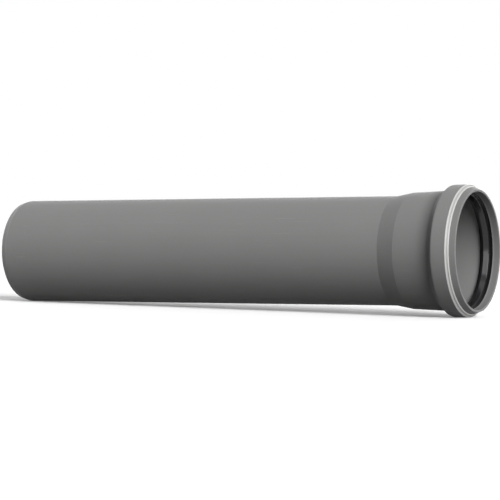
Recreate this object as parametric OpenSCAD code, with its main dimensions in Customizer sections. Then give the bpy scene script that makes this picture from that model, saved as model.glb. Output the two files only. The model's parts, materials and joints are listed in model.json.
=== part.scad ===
// Push-fit drain pipe: a plain barrel whose one end is widened into a socket, a rubber
// lip seal in the socket's bead, and a light ring over the bead's front edge.
// The pipe's axis is the X axis. The origin is the middle of the spigot end, and the
// socket's mouth faces +X.

/* [Pipe] */
// Outside diameter of the barrel and of the spigot end
barrel_od = 110; // [75:5:160]
// Wall thickness of the barrel, kept through the socket
wall = 2.7; // [2.2:0.1:4]
// Overall length, from the spigot end to the socket's mouth
overall_length = 530; // [250:1:3000]
// Length of the bevel on the spigot end, along the axis
bevel_length = 6; // [3:0.5:8]
// Angle of that bevel, from the axis
bevel_angle = 15; // [10:1:20]

/* [Socket] */
// Gap between a spigot and the inner end of the socket's bore, all round
socket_clearance = 0.6; // [0.2:0.1:1]
// Depth from the mouth to the inner end of the socket's bore
socket_depth = 67; // [50:1:120]
// Length of the cone that widens the barrel into the socket
cone_length = 18; // [10:0.5:30]
// Amount that the socket widens from the cone to the bead, all round
socket_draft = 1.5; // [0.5:0.1:2]

/* [Bead] */
// Height of the bead's top above the socket's outside at the cone
bead_rise = 7.3; // [5.5:0.1:9]
// Length of the bead, from its back edge to its front edge
bead_length = 15; // [12:0.1:20]
// Length of the sloping back of the bead, along the axis
back_length = 5.6; // [3:0.1:8]
// Radius that rounds the foot of that slope
foot_round = 4; // [1:0.5:6]
// Length of the crown that joins the back edge to the level top
crest_length = 1.5; // [1:0.5:6]
// Height that the back edge lies below the level top
crest_drop = 0.4; // [0.2:0.1:2]

/* [Mouth] */
// Length of the tapered lip in front of the retaining ring
lip_length = 5.8; // [3:0.1:8]
// Height of the lip's foot above the socket's outside at the cone
lip_rise = 4.2; // [3.2:0.1:5]
// Amount that the lip's outside narrows towards the mouth
lip_taper = 1.9; // [0.5:0.1:2.2]
// Thickness of the lip at the mouth
lip_edge = 2; // [1:0.1:2.4]
// Radius that rounds the two edges of the mouth
mouth_round = 0.4; // [0.1:0.1:0.45]
// Length of the tapered mouth in front of the seal
throat_length = 7.2; // [5.5:0.1:10]
// Gap between a spigot and the narrow end of that mouth, all round
throat_clearance = 2.7; // [2:0.1:3]

/* [Seal groove] */
// Length of the groove that holds the seal
groove_length = 13.4; // [12.5:0.1:15]
// Length of the slope at the front of the groove
groove_slope_length = 5.5; // [4:0.5:7]
// Height of the groove's front face, below that slope
groove_face = 1.2; // [0.8:0.1:1.8]

/* [Seal] */
// Slack between the seal and the groove, all round
seal_slack = 0.1; // [0.05:0.05:0.3]
// Amount that the relaxed lip is smaller than a spigot, all round
lip_bite = 0.8; // [0.4:0.1:2]
// Length of the lip's level face, its rounded edges included
lip_face_length = 2.5; // [2:0.25:4]
// Length of the slope that leads a spigot up onto that face
lead_length = 5; // [3:0.25:6]
// Height of that slope
lead_height = 1.8; // [1.2:0.1:2.4]
// Distance from the seal's front face to the ridge where the slope starts
ridge_setback = 3.6; // [3:0.1:4.5]
// Radius that rounds the ridge and the edges of the lip's face
seal_round = 0.6; // [0.2:0.1:0.8]
// Gap between a spigot and the seal's front rim, all round
front_rim_gap = 3.1; // [2.8:0.1:3.5]
// Gap between a spigot and the seal's back rim, all round
back_rim_gap = 2.5; // [2.2:0.1:3]

/* [Retaining ring] */
// Length of the ring, from the bead's front edge to the lip
ring_length = 3.5; // [3:0.1:5]
// Gap between the ring and the lip that it sits on
ring_clearance = 0.1; // [0.05:0.05:0.3]
// Length of the level edge beside the bead's top
ring_land = 0.5; // [0.3:0.1:0.8]
// Height of the ring's front edge above the lip
ring_edge = 0.6; // [0.3:0.1:0.8]
// Width of the groove round the middle of the ring's face
ring_groove_width = 1.2; // [0.8:0.1:2]
// Depth of that groove
ring_groove_depth = 0.4; // [0.2:0.1:0.6]

/* [Hidden] */
turn_facets = 180;
arc_steps = 6;

// Radii, from the barrel outwards
spigot_r = barrel_od / 2;
bore_r = spigot_r - wall;
bevel_r = spigot_r - bevel_length * tan(bevel_angle);
socket_bore_r = spigot_r + socket_clearance;
socket_r = socket_bore_r + wall;
bead_r = socket_r + bead_rise;
lip_foot_r = socket_r + lip_rise;
lip_end_r = lip_foot_r - lip_taper;
mouth_r = lip_end_r - lip_edge;
throat_r = spigot_r + throat_clearance;
groove_r = bead_r - wall;
groove_face_r = throat_r + groove_face;

// Stations along the axis, from the mouth backwards
mouth_x = overall_length;
lip_x = mouth_x - lip_length;
bead_front_x = lip_x - ring_length;
bead_back_x = bead_front_x - bead_length;
bead_foot_x = bead_back_x - back_length;
groove_front_x = mouth_x - throat_length;
groove_back_x = groove_front_x - groove_length;
socket_x = mouth_x - socket_depth;
cone_x = socket_x - cone_length;

function unit(v) = v / norm(v);

// Points of an arc of radius r that rounds the corner p between a before it and b after it
function rounded(a, p, b, r) =
    let (
        back = unit(a - p),
        on = unit(b - p),
        half = acos(back * on) / 2,
        middle = p + unit(back + on) * r / sin(half),
        start = p + back * r / tan(half) - middle,
        turn = (180 - 2 * half) * sign(back.y * on.x - back.x * on.y)
    )
    [for (i = [0 : arc_steps])
        let (t = turn * i / arc_steps)
        middle + [start.x * cos(t) - start.y * sin(t), start.x * sin(t) + start.y * cos(t)]];

// Points of a crown that rises from the bead's back edge and levels out at its top
function crest() =
    [for (i = [0 : arc_steps])
        let (s = i / arc_steps)
        [bead_back_x + crest_length * s, bead_r - crest_drop * pow(1 - s, 2)]];

// Turns an outline of [x, radius] points about the pipe's axis
module turned(outline) {
    rotate([0, 90, 0])
        rotate_extrude($fn = turn_facets)
            polygon([for (p = outline) [p.y, p.x]]);
}

// Barrel, cone, socket, bead and lip, made as one piece
module pipe() {
    socket_end = [socket_x, socket_r];
    bead_foot = [bead_foot_x, socket_r + socket_draft];
    bead_front = [bead_front_x, bead_r];
    lip_foot = [lip_x, lip_foot_r];
    lip_end = [mouth_x, lip_end_r];
    mouth_edge = [mouth_x, mouth_r];
    throat = [groove_front_x, throat_r];
    color([0.42, 0.42, 0.41]) turned(concat(
        [[0, bevel_r], [bevel_length, spigot_r], [cone_x, spigot_r], socket_end],
        rounded(socket_end, bead_foot, crest()[0], foot_round),
        crest(),
        [bead_front, [bead_front_x, lip_foot_r], lip_foot],
        rounded(lip_foot, lip_end, mouth_edge, mouth_round),
        rounded(lip_end, mouth_edge, throat, mouth_round),
        [
            throat,
            [groove_front_x, groove_face_r],
            [groove_front_x - groove_slope_length, groove_r],
            [groove_back_x, groove_r],
            [groove_back_x, socket_bore_r + socket_draft],
            [socket_x, socket_bore_r],
            [cone_x, bore_r],
            [0, bore_r]
        ]
    ));
}

// Rubber ring that fills the groove, with a lip that closes on a spigot
module sealing_ring() {
    back_x = groove_back_x + seal_slack;
    front_x = groove_front_x - seal_slack;
    outer_r = groove_r - seal_slack;
    front_rim_r = spigot_r + front_rim_gap;
    back_rim_r = spigot_r + back_rim_gap;
    face_r = spigot_r - lip_bite;
    ridge = [front_x - ridge_setback, face_r + lead_height];
    ridge_foot = [ridge.x, front_rim_r];
    face_front = [ridge.x - lead_length, face_r];
    face_back = [face_front.x - lip_face_length, face_r];
    lip_back = [face_back.x, back_rim_r];
    color([0.05, 0.05, 0.05]) turned(concat(
        [
            [back_x, outer_r],
            [front_x - groove_slope_length, outer_r],
            [front_x, groove_face_r - seal_slack],
            [front_x, front_rim_r],
            ridge_foot
        ],
        rounded(ridge_foot, ridge, face_front, seal_round),
        rounded(ridge, face_front, face_back, seal_round),
        rounded(face_front, face_back, lip_back, seal_round),
        [lip_back, [back_x, back_rim_r]]
    ));
}

// Light ring that lies over the bead's front edge, with a groove round its face
module retaining_ring() {
    seat_r = lip_foot_r + ring_clearance;
    heel = [bead_front_x + ring_land, bead_r];
    toe = [lip_x, seat_r + ring_edge];
    along = unit(toe - heel);
    inward = [along.y, -along.x];
    centre = (heel + toe) / 2;
    half = along * ring_groove_width / 2;
    flank = along * ring_groove_depth / 2;
    bed = centre + inward * ring_groove_depth;
    color([0.78, 0.78, 0.77]) turned([
        [bead_front_x, seat_r],
        [bead_front_x, bead_r],
        heel,
        centre - half,
        bed - half + flank,
        bed + half - flank,
        centre + half,
        toe,
        [lip_x, seat_r]
    ]);
}

pipe();
sealing_ring();
retaining_ring();
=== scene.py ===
import json
import math

import bpy
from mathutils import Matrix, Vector


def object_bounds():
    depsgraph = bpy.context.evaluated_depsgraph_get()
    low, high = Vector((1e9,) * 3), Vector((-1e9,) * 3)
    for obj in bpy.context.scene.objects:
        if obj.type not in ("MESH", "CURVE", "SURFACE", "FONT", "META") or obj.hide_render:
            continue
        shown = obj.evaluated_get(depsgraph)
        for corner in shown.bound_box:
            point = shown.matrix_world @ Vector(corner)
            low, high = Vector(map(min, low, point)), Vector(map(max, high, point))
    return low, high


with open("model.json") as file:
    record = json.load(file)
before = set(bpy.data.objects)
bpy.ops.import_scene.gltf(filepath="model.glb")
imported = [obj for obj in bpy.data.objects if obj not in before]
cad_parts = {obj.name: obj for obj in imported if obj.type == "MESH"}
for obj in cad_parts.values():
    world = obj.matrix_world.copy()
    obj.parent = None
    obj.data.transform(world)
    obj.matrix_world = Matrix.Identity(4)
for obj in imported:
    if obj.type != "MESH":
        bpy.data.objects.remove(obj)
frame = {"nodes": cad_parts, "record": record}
cad_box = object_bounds()


# Pipe: barrel, cone, socket, bead and lip, one piece of mid-grey polypropylene. It is drawn through
# a die, which leaves faint lines along it; its socket is formed hot over a mandrel, and its bevel cut
# on a lathe. Painted highlights pale its edges, a few scuffs are rubbed paler, and painted shade
# darkens its lip and the socket behind the bead.
mounts = {mount["name"]: mount for mount in frame["record"]["mounts"]}
spigot = mounts["spigot"]
bevel_foot = (spigot["pos_m"][0], spigot["dims"]["r_mm"] / 1000)
bore_radius = mounts["waterway"]["dims"]["r_mm"] / 1000
spigot_rim = (0, 0.0534)
cone_start = bevel_foot[0] + spigot["dims"]["length_mm"] / 1000
cone_length = 0.018
socket_radius = 0.0583
bead_start, lip_start = 0.5057, 0.5242
bead_edge = (bead_start, 0.0652)
mouth = cad_box[1][0]
mouth_outer_edge = (mouth, 0.0606)
mouth_inner_edge = (mouth, 0.0586)
surface_slack = 0.0001

pipe_grey = (0.200, 0.200, 0.198, 1)
# Paler edge bands are painted highlights; the scattered scuffs are wear.
pipe_highlight_and_wear_grey = (0.36, 0.36, 0.355, 1)
pipe_edge_highlight_width = 0.0011
pipe_highlight_and_wear_share = 0.3
barrel_lines, socket_lines = 0.06, 0.015
# The lip past the ring is darkened with painted shade.
lip_shade, lip_shade_fade = 0.72, 0.0006
# The band behind the bead is painted shade: the socket darkens towards the bead's back, where its shadow
# falls.
shade_start, shade_end = 0.484, 0.5027
shade_least, shade_most = 0.3, 0.46
lathed_gain, lathed_depth = 0.5, 0.05


def connect(tree, node, inputs):
    for name, value in inputs.items():
        if isinstance(value, bpy.types.NodeSocket):
            tree.links.new(value, node.inputs[name])
        else:
            node.inputs[name].default_value = value


def put(tree, kind, inputs, **settings):
    node = tree.nodes.new("ShaderNode" + kind)
    for name, value in settings.items():
        setattr(node, name, value)
    connect(tree, node, inputs)
    return node


def reckon(tree, operation, *values):
    return put(tree, "Math", dict(enumerate(values)), operation=operation).outputs[0]


def fade(tree, value, start, end, first=0, last=1, course="LINEAR"):
    ends = {"From Min": start, "From Max": end, "To Min": first, "To Max": last}
    return put(tree, "MapRange", {"Value": value, **ends}, interpolation_type=course).outputs["Result"]


def shaded(tree, colour, share):
    return put(tree, "VectorMath", {0: colour, "Scale": share}, operation="SCALE").outputs[0]


def laid_over(tree, share, under, over):
    coats = {"Factor": share, "A": under, "B": over}
    return put(tree, "Mix", coats, data_type="RGBA").outputs["Result"]


def pair(tree, first, second):
    return put(tree, "CombineXYZ", {0: first, 1: second}).outputs[0]


def about_axis(tree):
    parts = put(tree, "SeparateXYZ", {0: put(tree, "TexCoord", {}).outputs["Object"]})
    side = pair(tree, parts.outputs["Y"], parts.outputs["Z"])
    radius = put(tree, "VectorMath", {0: side}, operation="LENGTH")
    return parts.outputs["X"], radius.outputs["Value"], side


def grain_of(tree, scale, detail, squash=(1, 1, 1)):
    coords = put(tree, "TexCoord", {})
    squashed = put(tree, "Mapping", {"Vector": coords.outputs["Object"], "Scale": squash})
    pattern = {"Vector": squashed.outputs["Vector"], "Scale": scale, "Detail": detail}
    return put(tree, "TexNoise", pattern).outputs["Fac"]


def sum_up(tree, start, *parts):
    grain_middle = 0.5
    total = start
    for value, amount in parts:
        swing = reckon(tree, "SUBTRACT", value, grain_middle)
        total = reckon(tree, "MULTIPLY_ADD", swing, amount, total)
    return total


def raised(tree, height, **below):
    return put(tree, "Bump", {"Distance": 0.001, "Height": height, **below}).outputs["Normal"]


def new_group(name, takes, gives):
    group = bpy.data.node_groups.new(name, "ShaderNodeTree")
    for kind, sockets in (("INPUT", takes), ("OUTPUT", gives)):
        for label, socket_type in sockets:
            group.interface.new_socket(label, in_out=kind, socket_type="NodeSocket" + socket_type)
    return group, group.nodes.new("NodeGroupInput").outputs, group.nodes.new("NodeGroupOutput")


def plastic_skin():
    group, takes, end = new_group(
        "plastic_skin",
        [("Colour", "Color"), ("Clouding", "Float"), ("Grain", "Float"), ("Drawn Lines", "Float"),
         ("Peel", "Float"), ("Roughness", "Float")],
        [("Colour", "Color"), ("Roughness", "Float"), ("Normal", "Vector")],
    )
    cloud = grain_of(group, scale=16, detail=3)
    speck = grain_of(group, scale=1500, detail=2)
    lines = (grain_of(group, scale=1, detail=3, squash=(3, 260, 260)), takes["Drawn Lines"])
    dimples = grain_of(group, scale=420, detail=3)
    tone = sum_up(group, 1, (cloud, takes["Clouding"]), (speck, takes["Grain"]), lines)
    cloud_dulling, speck_dulling = 0.12, 0.1
    dullness = sum_up(group, takes["Roughness"], (cloud, cloud_dulling), (speck, speck_dulling), lines)
    connect(group, end, {
        "Colour": shaded(group, takes["Colour"], tone),
        "Roughness": dullness,
        "Normal": raised(group, sum_up(group, 0, (dimples, takes["Peel"]), lines)),
    })
    return group


# A band along one edge circle, broken up by noise; it places painted highlights on edges and painted
# shade in the ring's groove.
def edge_band():
    group, takes, end = new_group(
        "edge_band", [("Along", "Float"), ("Radius", "Float"), ("Width", "Float")], [("Mask", "Float")]
    )
    along, radius, _ = about_axis(group)
    edge = pair(group, takes["Along"], takes["Radius"])
    gap = put(group, "VectorMath", {0: pair(group, along, radius), 1: edge}, operation="DISTANCE")
    band = fade(group, gap.outputs["Value"], 0, takes["Width"], first=1, last=0, course="SMOOTHSTEP")
    patchiness = fade(group, grain_of(group, scale=130, detail=4), start=0.35, end=0.6, first=0.35)
    connect(group, end, {"Mask": reckon(group, "MULTIPLY", band, patchiness)})
    return group


skin_group = plastic_skin()
edge_group = edge_band()


# Paler bands along the given edges: painted highlights.
def edge_highlights(tree, edges, width):
    highlight = 0
    for along, radius in edges:
        place = {"Along": along, "Radius": radius, "Width": width}
        band = put(tree, "Group", place, node_tree=edge_group)
        highlight = reckon(tree, "MAXIMUM", highlight, band.outputs["Mask"])
    return highlight


# Painted highlights along the pipe's edges, together with paler scuffs, which are wear.
def edge_highlights_and_scuffs(tree):
    edges = edge_highlights(
        tree, (bevel_foot, spigot_rim, bead_edge, mouth_outer_edge, mouth_inner_edge), pipe_edge_highlight_width
    )
    scratches = fade(tree, grain_of(tree, scale=1, detail=2, squash=(22, 620, 620)), start=0.67, end=0.74)
    patches = fade(tree, grain_of(tree, scale=9, detail=2), start=0.5, end=0.62, last=0.5)
    marks = reckon(tree, "MAXIMUM", edges, reckon(tree, "MULTIPLY", scratches, patches))
    return reckon(tree, "MULTIPLY", marks, pipe_highlight_and_wear_share)


def lathed_bevel(tree, along, radius):
    at_end = reckon(tree, "LESS_THAN", along, bevel_foot[0])
    in_wall = reckon(tree, "GREATER_THAN", radius, bore_radius + surface_slack)
    return reckon(tree, "MULTIPLY", at_end, in_wall)


# Painted shade: darkens the socket just behind the bead, streaked with noise, where the bead's shadow
# falls.
def bead_painted_shade(tree, along, radius):
    nearing_bead = fade(tree, along, shade_start, shade_end, course="SMOOTHSTEP")
    behind = reckon(tree, "LESS_THAN", along, bead_start)
    outside = reckon(tree, "GREATER_THAN", radius, socket_radius - 4 * surface_slack)
    foot = reckon(tree, "MULTIPLY", nearing_bead, reckon(tree, "MULTIPLY", behind, outside))
    streaks = fade(tree, grain_of(tree, scale=60, detail=3), 0, 1, shade_least, shade_most)
    return reckon(tree, "MULTIPLY", foot, streaks)


def new_material(name):
    material = bpy.data.materials.new(name)
    material.use_nodes = True
    tree = material.node_tree
    return material, tree, tree.nodes["Principled BSDF"]


def pipe_plastic():
    material, tree, shader = new_material("pipe_plastic")
    along, radius, _ = about_axis(tree)
    lines = fade(tree, along, cone_start, cone_start + cone_length, barrel_lines, socket_lines)
    finish = {"Colour": pipe_grey, "Clouding": 0.1, "Grain": 0.12, "Drawn Lines": lines, "Peel": 0.012,
              "Roughness": 0.6}
    skin = put(tree, "Group", finish, node_tree=skin_group).outputs
    # Painted shade: the lip past the ring, which faces the wide window, is darkened.
    lip_shading = fade(tree, along, lip_start - lip_shade_fade, lip_start + lip_shade_fade, 1, lip_shade)
    unshaded = reckon(tree, "SUBTRACT", 1, bead_painted_shade(tree, along, radius))
    lathed = lathed_bevel(tree, along, radius)
    tone = reckon(tree, "MULTIPLY_ADD", lathed, lathed_gain, unshaded)
    toned_skin = shaded(tree, shaded(tree, skin["Colour"], lip_shading), tone)
    tool_marks = put(tree, "TexNoise", {"Vector": pair(tree, along, radius), "Scale": 2600, "Detail": 1})
    cut = reckon(tree, "MULTIPLY", tool_marks.outputs["Fac"], lathed)
    connect(tree, shader, {
        "IOR": 1.49,
        "Specular IOR Level": 0.2,
        "Base Color": laid_over(tree, edge_highlights_and_scuffs(tree), toned_skin, pipe_highlight_and_wear_grey),
        "Roughness": skin["Roughness"],
        "Normal": raised(tree, reckon(tree, "MULTIPLY", cut, lathed_depth), Normal=skin["Normal"]),
    })
    return material


pipe = frame["nodes"]["pipe"]
pipe.material_slots[0].material = pipe_plastic()


# Sealing ring: black rubber with a lip, moulded in one ring and pressed into the groove of the
# bead. It comes greased, so it shines in smears that run round it, with a few grains of dust.
rubber_black = (0.010, 0.010, 0.011, 1)
rubber_dusty = (0.06, 0.06, 0.058, 1)
smears_across, smears_round = 450, 5
smear_relief, rubber_relief = 0.02, 0.012


def seal_rubber():
    material, tree, shader = new_material("seal_rubber")
    along, radius, side = about_axis(tree)
    across = shaded(tree, pair(tree, along, radius), smears_across)
    heading = put(tree, "VectorMath", {0: side}, operation="NORMALIZE")
    course = {0: heading.outputs[0], 1: (smears_round,) * 3, 2: across}
    smeared = put(tree, "VectorMath", course, operation="MULTIPLY_ADD")
    smears = put(tree, "TexNoise", {"Vector": smeared.outputs[0], "Scale": 1, "Detail": 3}).outputs["Fac"]
    speckle = grain_of(tree, scale=700, detail=2)
    overlay_mask = fade(tree, grain_of(tree, scale=900, detail=2), start=0.68, end=0.76)
    connect(tree, shader, {
        "IOR": 1.52,
        "Specular IOR Level": 0.36,
        "Base Color": laid_over(tree, overlay_mask, rubber_black, rubber_dusty),
        "Roughness": fade(tree, smears, start=0.3, end=0.7, first=0.2, last=0.12),
        "Normal": raised(tree, sum_up(tree, 0, (smears, smear_relief), (speckle, rubber_relief))),
    })
    return material


seal = frame["nodes"]["sealing_ring"]
seal.material_slots[0].material = seal_rubber()


# Retaining ring: pale grey plastic, moulded with a groove round its face and snapped over the
# bead's front edge. Painted shade darkens its groove, and painted highlights pale the two ribs beside it.
ring_heel = (0.5212, 0.0656)
ring_groove = (0.5226, 0.0643)
ring_toe = (lip_start, 0.0632)
ring_highlight_width = 0.0012
ring_groove_width = 0.0009
ring_grey = (0.36, 0.36, 0.352, 1)
# The ribs' paler grey is a painted highlight, the groove's darker grey painted shade.
ring_highlight_grey = (0.46, 0.46, 0.45, 1)
ring_groove_shade_grey = (0.25, 0.25, 0.24, 1)


def ring_plastic():
    material, tree, shader = new_material("ring_plastic")
    finish = {"Colour": ring_grey, "Clouding": 0.12, "Grain": 0.3, "Drawn Lines": 0, "Peel": 0.02,
              "Roughness": 0.45}
    skin = put(tree, "Group", finish, node_tree=skin_group).outputs
    # Painted highlights on the two ribs, painted shade in the groove.
    ribs = edge_highlights(tree, (ring_heel, ring_toe), ring_highlight_width)
    groove = {"Along": ring_groove[0], "Radius": ring_groove[1], "Width": ring_groove_width}
    overlay_mask = put(tree, "Group", groove, node_tree=edge_group).outputs["Mask"]
    highlighted = laid_over(tree, ribs, skin["Colour"], ring_highlight_grey)
    connect(tree, shader, {
        "IOR": 1.49,
        "Specular IOR Level": 0.25,
        "Base Color": laid_over(tree, overlay_mask, highlighted, ring_groove_shade_grey),
        "Roughness": skin["Roughness"],
        "Normal": skin["Normal"],
    })
    return material


ring = frame["nodes"]["retaining_ring"]
ring.material_slots[0].material = ring_plastic()


# Floor: a wide white sheet that runs out of sight, so it is the lower part of the backdrop
# too. The pipe lies on it on its bead and on the spigot end, which are not equally thick, so
# the sheet is laid 1.2 degrees off the pipe's axis. It keeps the pipe's shadow.
floor_width = 40
crown_length = 0.0015
sheet_white = (0.95, 0.95, 0.95, 1)
sheet_return = (0.12, 0.12, 0.12, 1)
sheet_lift = (0.15, 0.15, 0.15, 1)
no_lift = (0, 0, 0, 1)


def seen_share(tree):
    rays = put(tree, "LightPath", {}).outputs
    seen = reckon(tree, "MAXIMUM", rays["Is Camera Ray"], rays["Is Glossy Ray"])
    return reckon(tree, "MAXIMUM", seen, rays["Is Transmission Ray"])


def white_sheet():
    material, tree, shader = new_material("white_sheet")
    seen = seen_share(tree)
    connect(tree, shader, {
        "Roughness": 1,
        "Specular IOR Level": 0,
        "Base Color": laid_over(tree, seen, sheet_return, sheet_white),
        "Emission Color": laid_over(tree, seen, no_lift, sheet_lift),
        "Emission Strength": 1,
    })
    return material


bpy.ops.object.select_all(action="DESELECT")
lowest = cad_box[0][2]
crown_end = bead_start + crown_length
slope = (-bevel_foot[1] - lowest) / (crown_end - bevel_foot[0])
bpy.ops.mesh.primitive_plane_add(
    size=floor_width, location=(crown_end, 0, lowest), rotation=(0, math.atan(slope), 0)
)
floor = bpy.context.object
floor.name = "floor"
floor.data.materials.append(white_sheet())


# Camera: level with the pipe's axis, off to the socket's side, with a long lens.
lens_data = bpy.data.cameras.new("camera")
lens_data.lens = 148.9
lens_data.sensor_width = 36
lens_data.clip_end = 100
lens_data.shift_y = 0.0017
camera = bpy.data.objects.new("camera", lens_data)
camera.location = (1.2829, -1.9069, 0)
camera.rotation_euler = (math.pi / 2, 0, 0.486)
bpy.context.scene.collection.objects.link(camera)
bpy.context.scene.camera = camera


# Room: white walls that give a low even light, and show white behind the pipe.
room_light = 0.05
world = bpy.data.worlds.new("room")
bpy.context.scene.world = world
world.use_nodes = True
walls = world.node_tree.nodes["Background"]
level = fade(world.node_tree, seen_share(world.node_tree), 0, 1, room_light, 1)
connect(world.node_tree, walls, {"Color": (1, 1, 1, 1), "Strength": level})


# Windows: broad soft lights. The wide low one stands off the socket's end, on the camera's side.
# The top, back and end ones are dim, and keep those sides from going black. The tall one is a
# pane beside the camera, and its reflection runs up the seal's lip.
def hang(name, light, towards):
    lamp = bpy.data.objects.new(name, light)
    lamp.rotation_euler = towards.to_track_quat("Z", "Y").to_euler()
    bpy.context.scene.collection.objects.link(lamp)
    return lamp


def window(name, azimuth, height, spread, strength):
    light = bpy.data.lights.new(name, "SUN")
    light.angle = math.radians(spread)
    light.energy = math.pi * strength
    turn, rise = math.radians(azimuth), math.radians(height)
    reach = math.cos(rise)
    hang(name, light, Vector((reach * math.cos(turn), reach * math.sin(turn), math.sin(rise))))


window("wide_window", -27, 22, 36, 1.46)
window("top_window", 0, 80, 50, 0.15)
window("back_window", 100, 14, 50, 0.4)
window("end_window", 150, 14, 50, 0.25)

seal_middle = Vector((0.52, 0, 0))
pane_place = Vector((1.367, -2.606, 1.22))
pane = bpy.data.lights.new("tall_window", "AREA")
pane.shape = "RECTANGLE"
pane.size = 0.63
pane.size_y = 2.67
pane.energy = 16
hang("tall_window", pane, pane_place - seal_middle).location = pane_place

bpy.context.scene.view_settings.view_transform = "Standard"
